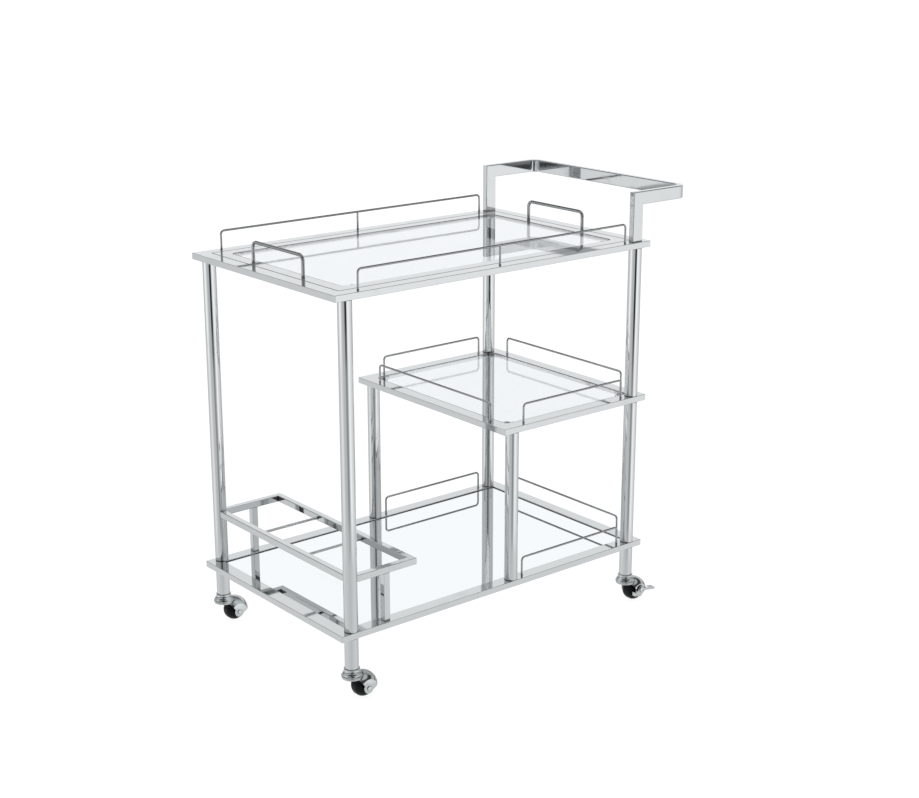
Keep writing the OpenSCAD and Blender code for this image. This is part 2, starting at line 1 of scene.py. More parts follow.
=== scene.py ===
# %% [markdown]
# # A chrome bar cart, one finish and one piece at a time
# The cart is a three-tier trolley: round tubes, flat frames mitred from rectangular tube, thin wire
# rails, two glass panels, a mirror and four hooded ball casters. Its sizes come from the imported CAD
# model, so every piece below is worked out from the box of the CAD node that it stands for.

import json

import bpy
import numpy as np
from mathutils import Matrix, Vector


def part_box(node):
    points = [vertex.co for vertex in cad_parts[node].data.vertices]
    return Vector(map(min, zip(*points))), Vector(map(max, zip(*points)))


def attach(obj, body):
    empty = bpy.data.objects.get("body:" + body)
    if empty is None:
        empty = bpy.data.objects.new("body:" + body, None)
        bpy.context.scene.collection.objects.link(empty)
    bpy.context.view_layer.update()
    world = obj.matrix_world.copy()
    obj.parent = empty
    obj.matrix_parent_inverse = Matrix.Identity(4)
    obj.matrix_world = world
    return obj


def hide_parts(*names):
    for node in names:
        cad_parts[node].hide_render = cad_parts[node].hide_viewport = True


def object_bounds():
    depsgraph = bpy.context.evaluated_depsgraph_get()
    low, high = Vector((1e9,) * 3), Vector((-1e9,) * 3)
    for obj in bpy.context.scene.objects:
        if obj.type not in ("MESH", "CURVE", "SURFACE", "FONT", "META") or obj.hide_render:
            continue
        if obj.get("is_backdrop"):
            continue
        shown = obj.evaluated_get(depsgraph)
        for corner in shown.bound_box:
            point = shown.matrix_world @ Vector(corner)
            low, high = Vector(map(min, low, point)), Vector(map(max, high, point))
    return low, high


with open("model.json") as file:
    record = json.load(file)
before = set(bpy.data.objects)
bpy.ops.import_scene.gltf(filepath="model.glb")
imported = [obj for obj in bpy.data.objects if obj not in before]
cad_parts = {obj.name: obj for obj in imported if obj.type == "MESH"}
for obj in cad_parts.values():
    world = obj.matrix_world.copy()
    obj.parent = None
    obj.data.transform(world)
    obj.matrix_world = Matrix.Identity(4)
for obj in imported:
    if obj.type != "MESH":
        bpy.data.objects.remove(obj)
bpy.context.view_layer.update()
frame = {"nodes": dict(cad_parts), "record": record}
MM = 0.001

# %% [markdown]
# ## The camera
# A cart like this is usually shown from a little above and from its bottle-rack end, with a long lens
# so that its posts stay nearly parallel. The camera is placed on that line of sight.

# %% Place the camera
camera_data = bpy.data.cameras.new("camera")
camera_data.lens = 65.0
camera_data.sensor_width = 36.0
camera = bpy.data.objects.new("camera", camera_data)
bpy.context.scene.collection.objects.link(camera)
camera.location = (-1.9550, -2.4184, 1.3645)
camera.rotation_euler = (np.radians(90 - 16.653), 0, np.radians(-39.36))
bpy.context.scene.camera = camera
print("camera at", [round(v, 3) for v in camera.location])

# %% [markdown]
# ## Shader maths as plain Python
# A finish is a small graph of nodes. The class below wraps one socket, so that a formula such as
# `0.05 + 0.1 * smudge` adds its Math nodes by itself and reads like the formula it is.

# %% A socket that does sums
class Value:
    """One number that varies over a surface, held as an output socket of a node tree."""

    def __init__(self, finish, socket):
        self.finish = finish
        self.socket = socket

    def sum_node(self, operation, first, second):
        return self.finish.node("ShaderNodeMath", {"operation": operation}, {0: first, 1: second})[0]

    def __add__(self, other):
        return self.sum_node("ADD", self, other)

    def __radd__(self, other):
        return self.sum_node("ADD", other, self)

    def __sub__(self, other):
        return self.sum_node("SUBTRACT", self, other)

    def __rsub__(self, other):
        return self.sum_node("SUBTRACT", other, self)

    def __mul__(self, other):
        return self.sum_node("MULTIPLY", self, other)

    def __rmul__(self, other):
        return self.sum_node("MULTIPLY", other, self)


class Finish:
    """A material with a Principled shader, and the few calls that fill its node tree."""

    def __init__(self, name, **constants):
        self.material = bpy.data.materials.new(name)
        self.material.use_nodes = True
        self.tree = self.material.node_tree
        self.tree.nodes.clear()
        self.output = self.tree.nodes.new("ShaderNodeOutputMaterial")
        self.shader = self.tree.nodes.new("ShaderNodeBsdfPrincipled")
        self.tree.links.new(self.shader.outputs[0], self.output.inputs[0])
        for key, value in constants.items():
            self.shader.inputs[key.replace("_", " ")].default_value = value
        self.coordinates = self.node("ShaderNodeTexCoord", {}, {})
        self.place = self.coordinates["Object"]

    def node(self, kind, settings, inputs):
        """Adds a node, sets its settings first, then its sockets by value or by link."""
        made = self.tree.nodes.new(kind)
        for key, value in settings.items():
            if key == "stops":
                ramp = made.color_ramp
                while len(ramp.elements) < len(value):
                    ramp.elements.new(0.5)
                for element, (where, colour) in zip(ramp.elements, value):
                    element.position = where
                    element.color = colour
            else:
                setattr(made, key, value)
        for key, value in inputs.items():
            self.join(value, made.inputs[key])
        by_index = {i: Value(self, s) for i, s in enumerate(made.outputs)}
        by_name = {s.name: Value(self, s) for s in made.outputs}
        return {**by_index, **by_name}

    def join(self, value, socket):
        if isinstance(value, Value):
            self.tree.links.new(value.socket, socket)
        else:
            socket.default_value = value

    def noise(self, scale, detail, stretch=(1, 1, 1)):
        """Noise from 0 to 1 with its mean at 0.5, at `scale` lumps per metre, drawn out by `stretch`."""
        place = self.node("ShaderNodeMapping", {}, {"Vector": self.place, "Scale": stretch})[0]
        inputs = {"Vector": place, "Scale": scale, "Detail": detail, "Roughness": 0.5}
        return self.node("ShaderNodeTexNoise", {}, inputs)["Fac"]

    def step(self, value, low, high):
        """0 below low, 1 above high, and smooth between them."""
        settings = {"interpolation_type": "SMOOTHSTEP"}
        inputs = {"Value": value, "From Min": low, "From Max": high}
        return self.node("ShaderNodeMapRange", settings, inputs)[0]

    def blend(self, mask, first, second):
        """The first colour where the mask is 0 and the second where it is 1."""
        made = self.tree.nodes.new("ShaderNodeMix")
        made.data_type = "RGBA"
        self.join(mask, made.inputs[0])
        self.join(first, made.inputs[6])
        self.join(second, made.inputs[7])
        return Value(self, made.outputs[2])

    def bumps(self, height, distance, strength=1.0, under=None):
        inputs = {"Height": height, "Distance": distance, "Strength": strength}
        if under is not None:
            inputs["Normal"] = under
        return self.node("ShaderNodeBump", {}, inputs)["Normal"]

    def set(self, **links):
        for key, value in links.items():
            self.join(value, self.shader.inputs[key.replace("_", " ")])
        return self.material


# %% [markdown]
# ## Chrome plate
# Chrome is nearly a mirror. What makes it look like metal and not like an empty mirror is small: the
# plate follows a faint waviness left by the polishing wheel, hands leave soft smudges that blur it,
# and its grey is a touch cool. The finish is a metal with a low roughness, smudges that raise it and
# two very shallow bumps, and painted shade darkens its joints and gaps. The wire rails and grips get a darker
# grey, chosen as painted shade for the darker reflections that thin wire shows.

# %% Chrome
# Painted shade for joints and gaps: how far round a point it looks, in metres, and its near-black colour.
SEAM_SHADE_REACH = 0.004
SEAM_SHADE_COLOUR = (0.02, 0.022, 0.023, 1)


def chrome_plate(name, tint, base_roughness):
    """Roughness = base + 0.09 * smudge + 0.02 * fine grain; bump = long waves + polishing grain.
    Where other surfaces crowd round within a few millimetres the colour darkens with painted shade, as shade
    falls in a joint or gap, which draws it as a thin dark line. A level face, such as a ledge under its
    glass, is left alone."""
    finish = Finish(name, Metallic=1.0)
    crowding = finish.node("ShaderNodeAmbientOcclusion", {"samples": 6}, {"Distance": SEAM_SHADE_REACH})["AO"]
    facing_up = finish.node("ShaderNodeSeparateXYZ", {}, {0: finish.coordinates["Normal"]})["Z"]
    # Painted shade: the colour darkens where nearby surfaces crowd round, as shade falls in joints and gaps;
    # faces turned upward are spared.
    seam_shade = (1 - finish.step(crowding, 0.5, 0.88)) * (1 - finish.step(facing_up, 0.8, 0.95))
    smudge = finish.step(finish.noise(16, 4), 0.56, 0.8)
    grain = finish.noise(900, 2)
    waves = finish.noise(9, 1)
    colour = finish.blend(smudge, tint, tuple(0.95 * c for c in tint[:3]) + (1,))
    colour = finish.blend(0.95 * seam_shade, colour, SEAM_SHADE_COLOUR)
    normal = finish.bumps(waves, 0.0012, 0.35)
    normal = finish.bumps(grain, 0.00002, 0.25, normal)
    roughness = base_roughness + 0.09 * smudge + 0.02 * grain
    return finish.set(Base_Color=colour, Roughness=roughness, Normal=normal)


chrome = chrome_plate("chrome_plate", (0.645, 0.66, 0.665, 1), 0.03)
pressed_chrome = chrome_plate("pressed_chrome", (0.55, 0.57, 0.575, 1), 0.11)
# The wire rails' darker grey is painted shade: the same chrome, darkened to stand for the darker reflections
# of thin wire.
wire_chrome = chrome_plate("wire_chrome", (0.43, 0.44, 0.445, 1), 0.03)
print("made", chrome.name, "and", pressed_chrome.name, "and", wire_chrome.name)

# %% [markdown]
# ## Glass, mirror and clear pads
# The panels are float glass: clear, with a hint of blue, sharp reflections and a few wiped smears.
# The mirror is the same glass silvered behind, so here it is a smooth bright metal whose roughness
# rises only in the smears. The pads under the panels are soft clear plastic, a little cloudy.

# %% Clear and silvered finishes
def clear_sheet(name, tint, base_roughness, smear_roughness, ior):
    """A clear body; roughness = base + smear_roughness * smear + 0.03 * dust."""
    finish = Finish(name, Transmission_Weight=1.0, IOR=ior)
    smear = finish.step(finish.noise(7, 3, (1, 2.5, 1)), 0.52, 0.8)
    dust = finish.step(finish.noise(420, 2), 0.66, 0.74)
    colour = finish.blend(smear, tint, tuple(0.97 * c for c in tint[:3]) + (1,))
    return finish.set(Base_Color=colour, Roughness=base_roughness + smear_roughness * smear + 0.03 * dust)


def silvered_sheet():
    """A mirror: metal with roughness = 0.008 + 0.06 * smear and a very faint waviness."""
    finish = Finish("silvered_glass", Metallic=1.0)
    smear = finish.step(finish.noise(6, 4, (1.6, 1, 1)), 0.55, 0.85)
    colour = finish.blend(smear, (0.945, 0.96, 0.97, 1), (0.915, 0.93, 0.94, 1))
    normal = finish.bumps(finish.noise(5, 1), 0.0006, 0.2)
    return finish.set(Base_Color=colour, Roughness=0.008 + 0.06 * smear, Normal=normal)


clear_glass = clear_sheet("clear_glass", (0.81, 0.835, 0.853, 1), 0.004, 0.05, 1.5)
clear_pad = clear_sheet("clear_pad", (0.9, 0.92, 0.93, 1), 0.18, 0.1, 1.42)
mirror_glass = silvered_sheet()
print("made", clear_glass.name, clear_pad.name, mirror_glass.name)

# %% [markdown]
# ## Wheel plastic and plain steel
# The wheels are moulded in black plastic with a satin skin and patches of dust.
# Screws, axles and rivets are zinc-plated steel, duller than the chrome and slightly mottled.

# %% Black plastic and zinc
def wheel_plastic():
    """Colour runs from black to a dusty grey with the dust mask; roughness = 0.27 + 0.3 * dust."""
    finish = Finish("wheel_plastic", IOR=1.45, Specular_IOR_Level=0.16)
    dust = finish.step(finish.noise(130, 5), 0.55, 0.85)
    skin = finish.noise(1500, 2)
    colour = finish.blend(dust, (0.004, 0.0045, 0.005, 1), (0.016, 0.016, 0.015, 1))
    normal = finish.bumps(skin, 0.00006, 0.4)
    return finish.set(Base_Color=colour, Roughness=0.27 + 0.3 * dust, Normal=normal)


def zinc_plate():
    """Mottled zinc: roughness = 0.24 + 0.16 * mottle."""
    finish = Finish("zinc_plate", Metallic=1.0)
    mottle = finish.noise(260, 4)
    colour = finish.blend(mottle, (0.56, 0.57, 0.58, 1), (0.7, 0.7, 0.69, 1))
    normal = finish.bumps(mottle, 0.0001, 0.3)
    return finish.set(Base_Color=colour, Roughness=0.24 + 0.16 * mottle, Normal=normal)


black_plastic = wheel_plastic()
zinc = zinc_plate()
print("made", black_plastic.name, zinc.name)

# %% [markdown]
# ## Surfaces as grids of points
# Every new piece is one or more grids: rows and columns of points worked out by a formula, joined by
# four-sided faces. A grid may close on itself in either direction, and its first and last rows may be
# filled, so that each piece is a closed skin. Narrow extra rows beside each rounding keep the flat
# faces truly flat when the shading is smooth.

# %% Grids to meshes
class Skin:
    def __init__(self):
        self.points, self.faces, self.count = [], [], 0

    def grid(self, points, close_rows=False, close_columns=False, fill_ends=False):
        """Face (i, j) joins points[i, j], [i+1, j], [i+1, j+1] and [i, j+1], with wrap-around."""
        rows, columns = points.shape[:2]
        i = np.arange(rows if close_rows else rows - 1)[:, None]
        j = np.arange(columns if close_columns else columns - 1)[None, :]
        i2, j2 = (i + 1) % rows, (j + 1) % columns
        quads = np.stack([i * columns + j, i2 * columns + j, i2 * columns + j2, i * columns + j2], -1)
        self.faces += (quads.reshape(-1, 4) + self.count).tolist()
        if fill_ends:
            ring = np.arange(columns) + self.count
            self.faces.append(ring[::-1].tolist())
            self.faces.append((ring + (rows - 1) * columns).tolist())
        self.points.append(points.reshape(-1, 3))
        self.count += rows * columns

    def solid(self, points):
        """A grid whose columns meet and whose first and last rows are filled: a closed solid."""
        self.grid(points, close_columns=True, fill_ends=True)

    def finish(self, name, body, slot, material, *nodes, crease=38):
        mesh = bpy.data.meshes.new(name)
        mesh.from_pydata(np.concatenate(self.points).tolist(), [], self.faces)
        tidy(mesh, crease)
        piece = bpy.data.objects.new(name, mesh)
        return settle(piece, body, slot, material, *nodes)


def tidy(mesh, crease):
    """Welds doubles, turns every closed skin outwards and shades it smooth up to the crease angle."""
    import bmesh

    work = bmesh.new()
    work.from_mesh(mesh)
    bmesh.ops.remove_doubles(work, verts=work.verts, dist=1e-6)
    bmesh.ops.recalc_face_normals(work, faces=work.faces)
    work.to_mesh(mesh)
    work.free()
    mesh.polygons.foreach_set("use_smooth", [True] * len(mesh.polygons))
    mesh.set_sharp_from_angle(angle=np.radians(crease))


def settle(piece, body, slot, material, *nodes):
    """Puts a piece in the scene, on its CAD body, in place of its CAD nodes."""
    bpy.context.scene.collection.objects.link(piece)
    piece.data.materials.clear()
    piece.data.materials.append(material)
    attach(piece, body)
    if nodes:
        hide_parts(*nodes)
    return piece


# %% [markdown]
# ## Outlines and paths
# Most of the cart is a constant section carried along a line: a round or rounded-square section along
# a straight, mitred or bent path. Two outlines and one carrying rule cover all of it.

# %% Outlines, paths and turned shapes
NEAR = 0.12 * MM


def round_outline(radius, count):
    """count points at (radius cos t, radius sin t)."""
    t = np.linspace(0, 2 * np.pi, count, endpoint=False)
    return radius * np.stack([np.cos(t), np.sin(t)], 1)


def box_outline(half_x, half_y, radius, steps=6):
    """A rectangle with round corners. In each corner t runs a quarter turn: the point is the corner's
    centre + radius (cos t, sin t), the normal is (cos t, sin t), and one more point lies just past
    each end of the arc, along the straight side."""
    quarter = np.linspace(0, np.pi / 2, steps)
    points, normals = [], []
    for k, (sx, sy) in enumerate([(1, 1), (-1, 1), (-1, -1), (1, -1)]):
        t = quarter + k * np.pi / 2
        normal = np.stack([np.cos(t), np.sin(t)], 1)
        along = np.stack([-np.sin(t), np.cos(t)], 1)
        arc = np.array([sx * (half_x - radius), sy * (half_y - radius)]) + radius * normal
        points.append(np.vstack([arc[:1] - NEAR * along[:1], arc, arc[-1:] + NEAR * along[-1:]]))
        normals.append(np.vstack([normal[:1], normal, normal[-1:]]))
    return np.vstack(points), np.vstack(normals)


def carry(path, across, up, outline):
    """point[i, j] = path[i] + outline[j].x * across[i] + outline[j].y * up[i]."""
    path, across, up = (np.asarray(a, float)[:, None, :] for a in (path, across, up))
    return path + outline[None, :, :1] * across + outline[None, :, 1:] * up


def wire_path(corners, bend, steps=9):
    """A path through right-angled corners. At a corner P between the directions u and v,
    point = P - bend (u + (-v)) - bend v cos a + bend u sin a, and the direction is u cos a + v sin a."""
    corners = np.asarray(corners, float)
    angle = np.linspace(0, np.pi / 2, steps)[:, None]
    points, directions = [corners[:1]], []
    first = corners[1] - corners[0]
    directions.append((first / np.linalg.norm(first))[None])
    for before, here, after in zip(corners[:-2], corners[1:-1], corners[2:]):
        u = (here - before) / np.linalg.norm(here - before)
        v = (after - here) / np.linalg.norm(after - here)
        centre = here - bend * u + bend * v
        arc = centre - bend * v * np.cos(angle) + bend * u * np.sin(angle)
        points += [arc[:1] - NEAR * u, arc, arc[-1:] + NEAR * v]
        directions += [u[None], u * np.cos(angle) + v * np.sin(angle), v[None]]
    last = corners[-1] - corners[-2]
    points.append(corners[-1:])
    directions.append((last / np.linalg.norm(last))[None])
    return np.vstack(points), np.vstack(directions)


def turned(profile, centre, count=64, axis="Z"):
    """A lathe shape: (r, h) in the profile goes to (r cos t, r sin t, h) about the axis."""
    t = np.linspace(0, 2 * np.pi, count, endpoint=False)[None, :]
    profile = np.asarray(profile, float)
    r, h = profile[:, :1], profile[:, 1:]
    x, y, z = r * np.cos(t), r * np.sin(t), h + 0 * t
    grid = np.stack([x, y, z] if axis == "Z" else [x, z, -y], -1)
    return grid + np.asarray(centre, float)


def box_of(node):
    low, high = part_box(node)
    return np.array(low), np.array(high)


print("outline of", len(box_outline(0.01, 0.01, 0.001)[0]), "points")

# %% [markdown]
# ## The round posts
# Eight post tubes and four short legs are 1-inch tube. Each is a round skin with a tiny chamfer at both ends,
# which catches a dark line where the tube meets a frame, as the real joints do.

# %% Posts and legs
TUBE_CHAMFER = 0.5 * MM


def tube_skin(skin, low, high):
    """A straight tube of constant radius, whose ends close in by TUBE_CHAMFER over the same length."""
    radius = (high[0] - low[0]) / 2
    centre = (low + high) / 2
    z0, z1, c = low[2], high[2], TUBE_CHAMFER
    profile = [
        (radius - c, z0), (radius, z0 + c), (radius, z0 + c + NEAR),
        (radius, z1 - c - NEAR), (radius, z1 - c), (radius - c, z1),
    ]
    skin.solid(turned(profile, (centre[0], centre[1], 0), 96))


posts = [n for n in frame["nodes"] if n.startswith(("post_", "shelf_post_"))]
for node in posts:
    skin = Skin()
    tube_skin(skin, *box_of(node))
    skin.finish("tube_" + node, "cart", "chrome", chrome, node)

post_low, post_high = box_of("post_rack_front")
tube_radius = (post_high[0] - post_low[0]) / 2
legs_low, legs_high = box_of("caster_legs")
legs = Skin()
post_centres = {}
for end, x in (("rack", legs_low[0] + tube_radius), ("handle", legs_high[0] - tube_radius)):
    for side, y in (("front", legs_low[1] + tube_radius), ("back", legs_high[1] - tube_radius)):
        post_centres[end + "_" + side] = np.array([x, y, legs_low[2]])
        corner = np.array([tube_radius, tube_radius, 0])
        tube_skin(legs, np.array([x, y, legs_low[2]]) - corner, np.array([x, y, legs_high[2]]) + corner)
legs.finish("lower_legs", "cart", "chrome", chrome, "caster_legs")
print(len(posts), "posts and 4 legs, radius", round(tube_radius / MM, 2), "mm")

# %% [markdown]
# ## The flat frames
# Each tier is a flat rectangular tube, mitred and polished at its corners. Seen as one skin it is a
# ring: its section runs up the inside wall, across the top, down the outside and back underneath.
# Outer and inner boundary are two rounded rectangles walked in step.

# %% Frames
def band(skin, outer_half, inner_half, outer_r, inner_r, z0, z1, centre, edge=0.7 * MM, steps=7):
    """Row t holds matching points O(t) and I(t) of two rounded rectangles with normals N(t).
    A section point at distance a from a wall lies at I + a N or at O - a N, at its own height."""
    outer, normal = box_outline(*outer_half, outer_r, steps)
    inner, inner_normal = box_outline(*inner_half, inner_r, steps)
    arc = np.linspace(0, np.pi / 2, 5)
    fillet = edge * np.column_stack([1 - np.sin(arc), 1 - np.cos(arc)])
    fillet = np.vstack([[edge + NEAR, 0], fillet, [0, edge + NEAR]])
    columns = []

    def points_at(base, out, sign, into, height):
        flat = base + sign * into * out
        return np.column_stack([flat, np.full(len(flat), height)])

    for into, down in fillet[::-1]:
        columns.append(points_at(inner, inner_normal, 1, into, z1 - down))
    for into, down in fillet:
        columns.append(points_at(outer, normal, -1, into, z1 - down))
    for into, down in fillet[::-1]:
        columns.append(points_at(outer, normal, -1, into, z0 + down))
    for into, down in fillet:
        columns.append(points_at(inner, inner_normal, 1, into, z0 + down))
    grid = np.stack(columns, 1) + np.array([centre[0], centre[1], 0])
    skin.grid(grid, close_rows=True, close_columns=True)


def ledge(skin, opening, width, corner_r, z, thick, centre):
    """A flat ring in a frame's opening, from LEDGE_OVERLAP inside the bar to `width` inwards of it."""
    z_top = z + thick
    band(skin, opening + LEDGE_OVERLAP, opening - width, corner_r, corner_r, z, z_top, centre, LEDGE_EDGE)


LEDGE_OVERLAP, LEDGE_EDGE = 0.3 * MM, 0.4 * MM
BAR = 26 * MM
for node, inner_r in (("top_frame", 2.5 * MM), ("shelf_frame", 12 * MM), ("base_frame", 2.5 * MM)):
    low, high = box_of(node)
    half, centre = (high - low)[:2] / 2, (high + low) / 2
    skin = Skin()
    band(skin, half, half - BAR, 1.6 * MM, inner_r, low[2], high[2], centre)
    if node != "shelf_frame":
        lip = 3 * MM if node == "top_frame" else 4.8 * MM
        width = 10.5 * MM if node == "top_frame" else 9 * MM
        ledge(skin, half - BAR, width, inner_r, low[2], lip, centre)
    skin.finish("flat_" + node, "cart", "chrome", chrome, node)

low, high = box_of("serving_tray_frame")
half, centre = (high - low)[:2] / 2, (high + low) / 2
TRAY_BAR, TRAY_CORNER = 24 * MM, 12 * MM
skin = Skin()
band(skin, half, half - TRAY_BAR, 1.2 * MM, TRAY_CORNER, low[2], high[2], centre, 0.5 * MM)
ledge(skin, half - TRAY_BAR, 9 * MM, TRAY_CORNER, low[2], 3 * MM, centre)
skin.finish("tray_rim", "serving_tray", "chrome", chrome, "serving_tray_frame")
print("four frames, bar", BAR / MM, "mm wide")

# %% [markdown]
# ## Glass and mirror panels
# A panel is a plate with round corners and polished, slightly bevelled edges. The mirror lies a little
# lower than its frame, which draws the dark line round it.

# %% Panels
def plate(skin, low, high, corner_r, bevel):
    """Rounded rectangles stacked from underside to top; the first and last are set in by the bevel."""
    half, centre = (high - low)[:2] / 2, (high + low) / 2
    rows = []
    for inset, z in ((bevel, low[2]), (0, low[2] + bevel), (0, high[2] - bevel), (bevel, high[2])):
        flat, _ = box_outline(half[0] - inset, half[1] - inset, corner_r - inset, 8)
        rows.append(np.column_stack([flat + centre[:2], np.full(len(flat), z)]))
    skin.solid(np.stack(rows))


GLASS_CORNER, MIRROR_CORNER, PANEL_BEVEL = 11 * MM, 1.5 * MM, 0.8 * MM
for node, body, slot, material, corner_r in (
    ("serving_tray_glass", "serving_tray", "clear_glass", clear_glass, GLASS_CORNER),
    ("shelf_glass", "cart", "clear_glass", clear_glass, GLASS_CORNER),
    ("base_mirror", "cart", "mirror", mirror_glass, MIRROR_CORNER),
):
    skin = Skin()
    plate(skin, *box_of(node), corner_r, PANEL_BEVEL)
    skin.finish("panel_" + node, body, slot, material, node, crease=25)
print("three panels")

# %% [markdown]
# ## Wire rails and tray grips
# The gallery rails are 4 mm wire bent at right angles and welded upright onto the frames. The grips of
# the serving tray are the same shape in thicker rod. Each foot spreads a little into its weld.

# %% Rails and grips
WELD_HEIGHTS = np.array([0, 0.5, 1.0, 1.6]) * MM
WELD_SWELL = 0.7 * MM


def arch(skin, low, high, wire, bend, middle_leg=False):
    """A wire up, along and down again, in the upright plane through the box's long side. The wire's
    radius swells by WELD_SWELL at its foot and is its own again at the last of WELD_HEIGHTS."""
    along = 0 if high[0] - low[0] > high[1] - low[1] else 1
    radius, top = wire / 2, high[2] - wire / 2
    start, end = (low + high) / 2, (low + high) / 2
    start[along], end[along] = low[along] + radius, high[along] - radius
    foot = low[2]
    corners = [(*start[:2], foot), (*start[:2], top), (*end[:2], top), (*end[:2], foot)]
    path, direction = wire_path(corners, bend)
    weld = WELD_HEIGHTS[:, None] * [0, 0, 1]
    path = np.vstack([path[0] + weld, path[1:-1], path[-1] + weld[::-1]])
    direction = np.vstack([np.repeat(direction[:1], 4, 0), direction[1:-1], np.repeat(direction[-1:], 4, 0)])
    across = np.zeros((len(path), 3))
    across[:, 1 - along] = 1
    up = np.cross(direction, across)
    outline = round_outline(radius, 24)
    grid = carry(path, across, up, outline)
    swell = np.ones(len(path))
    swell[:4] = swell[-4:][::-1] = 1 + WELD_SWELL / radius * np.array([1, 0.45, 0.12, 0])
    skin.solid(path[:, None] + (grid - path[:, None]) * swell[:, None, None])
    if middle_leg:
        mid = (start + end) / 2
        radii = radius + np.array([0.7, 0.3, 0.1, 0, 0]) * MM
        heights = np.append(foot + WELD_HEIGHTS, top)
        skin.solid(turned(np.column_stack([radii, heights]), (mid[0], mid[1], 0), 24))


WIRE, WIRE_BEND = 4 * MM, 7 * MM
ROD, ROD_BEND = 6.5 * MM, 10.25 * MM
rails = [n for n in frame["nodes"] if "_rail_" in n]
for node in rails:
    skin = Skin()
    arch(skin, *box_of(node), WIRE, WIRE_BEND, node.startswith("top_rail"))
    skin.finish("wire_" + node, "cart", "chrome", wire_chrome, node)
for node in ("tray_grip_rack_end", "tray_grip_handle_end"):
    skin = Skin()
    arch(skin, *box_of(node), ROD, ROD_BEND)
    skin.finish("rod_" + node, "serving_tray", "chrome", wire_chrome, node)
print(len(rails), "rails and 2 grips")

# %% [markdown]
# ## The push handle
# One flat tube: an upright on each handle-end post, a mitred corner, an arm, a round bend, the cross
# bar and back again. The section's wide side always stands in the upright plane of the arm.

# %% Push handle
low, high = box_of("push_handle")
WIDE, THIN, HANDLE_BEND = 25.4 * MM, 12.4 * MM, 25 * MM
x_foot, x_far = low[0] + WIDE / 2, high[0] - THIN / 2
y_front, y_back = low[1] + THIN / 2, high[1] - THIN / 2
z_arm = high[2] - WIDE / 2
turns = [(x_foot, y_front, z_arm), (x_far, y_front, z_arm), (x_far, y_back, z_arm), (x_foot, y_back, z_arm)]
level, facing = wire_path(turns, HANDLE_BEND - THIN / 2, 14)
outward = np.cross(facing, [0, 0, 1])
path = np.vstack([[(x_foot, y_front, low[2])], level, [(x_foot, y_back, low[2])]])
upright = np.repeat([[0.0, 0, 1]], len(level) - 2, 0)
wide = np.vstack([[(-1, 0, 0)], [(-1, 0, 1)], upright, [(-1, 0, 1)], [(-1, 0, 0)]])
thin = np.vstack([outward[:1], outward, outward[-1:]])
outline, _ = box_outline(WIDE / 2, THIN / 2, 1.8 * MM, 6)
skin = Skin()
skin.solid(carry(path, wide, thin, outline))
skin.finish("handle_tube", "cart", "chrome", chrome, "push_handle")
print("handle reaches", round(high[0], 4), "and stands", round(high[2], 4), "high")

# %% [markdown]
# ## The bottle rack
# Two side bars and a far bar of square tube, mitred, and an end bar between the rack-end posts. Thin
# wires make the cells, and two legs of the same square tube carry it.

# %% Bottle rack
def straight_bar(skin, start, end, across, up, outline):
    """A constant outline from start to end, laid along `across` and `up`."""
    skin.solid(carry([start, end], [across] * 2, [up] * 2, outline))


low, high = box_of("bottle_rack_frame")
SQUARE = 12.7 * MM
x0, x1 = low[0], high[0] - SQUARE / 2
y0, y1, z = low[1] + SQUARE / 2, high[1] - SQUARE / 2, (low[2] + high[2]) / 2
outline, _ = box_outline(SQUARE / 2, SQUARE / 2, 1.1 * MM, 5)
path = [(x0, y0, z), (x1, y0, z), (x1, y1, z), (x0, y1, z)]
across = [(0, -1, 0), (1, -1, 0), (1, 1, 0), (0, 1, 0)]
skin = Skin()
skin.solid(carry(path, across, [(0, 0, 1)] * 4, outline))
skin.finish("rack_loop", "cart", "chrome", chrome, "bottle_rack_frame")

end_low, end_high = box_of("bottle_rack_end_bar")
x = (end_low[0] + end_high[0]) / 2
skin = Skin()
straight_bar(skin, (x, end_low[1], z), (x, end_high[1], z), (1, 0, 0), (0, 0, 1), outline)
skin.finish("rack_end_bar", "cart", "chrome", chrome, "bottle_rack_end_bar")

for node in ("bottle_rack_leg_front", "bottle_rack_leg_back"):
    low, high = box_of(node)
    x, y = (low[0] + high[0]) / 2, (low[1] + high[1]) / 2
    skin = Skin()
    straight_bar(skin, (x, y, low[2]), (x, y, high[2]), (1, 0, 0), (0, 1, 0), outline)
    skin.finish("bar_" + node, "cart", "chrome", chrome, node)

low, high = box_of("bottle_rack_dividers")
wire = (high[2] - low[2]) / 2
skin = Skin()
for y in (low[1] + wire, high[1] - wire):
    straight_bar(skin, (low[0], y, z), (high[0], y, z), (0, 1, 0), (0, 0, 1), round_outline(wire, 24))
skin.finish("rack_wires", "cart", "chrome", chrome, "bottle_rack_dividers")
print("bottle rack at", round(z, 4))

# %% [markdown]
# ## Caster cups and wheels
# Under each leg sits a pressed bearing cup: a collar, a flared skirt and a rolled rim. The wheel below
# is a moulded ball with flat sides, a fine parting line round its tread and a recessed face.

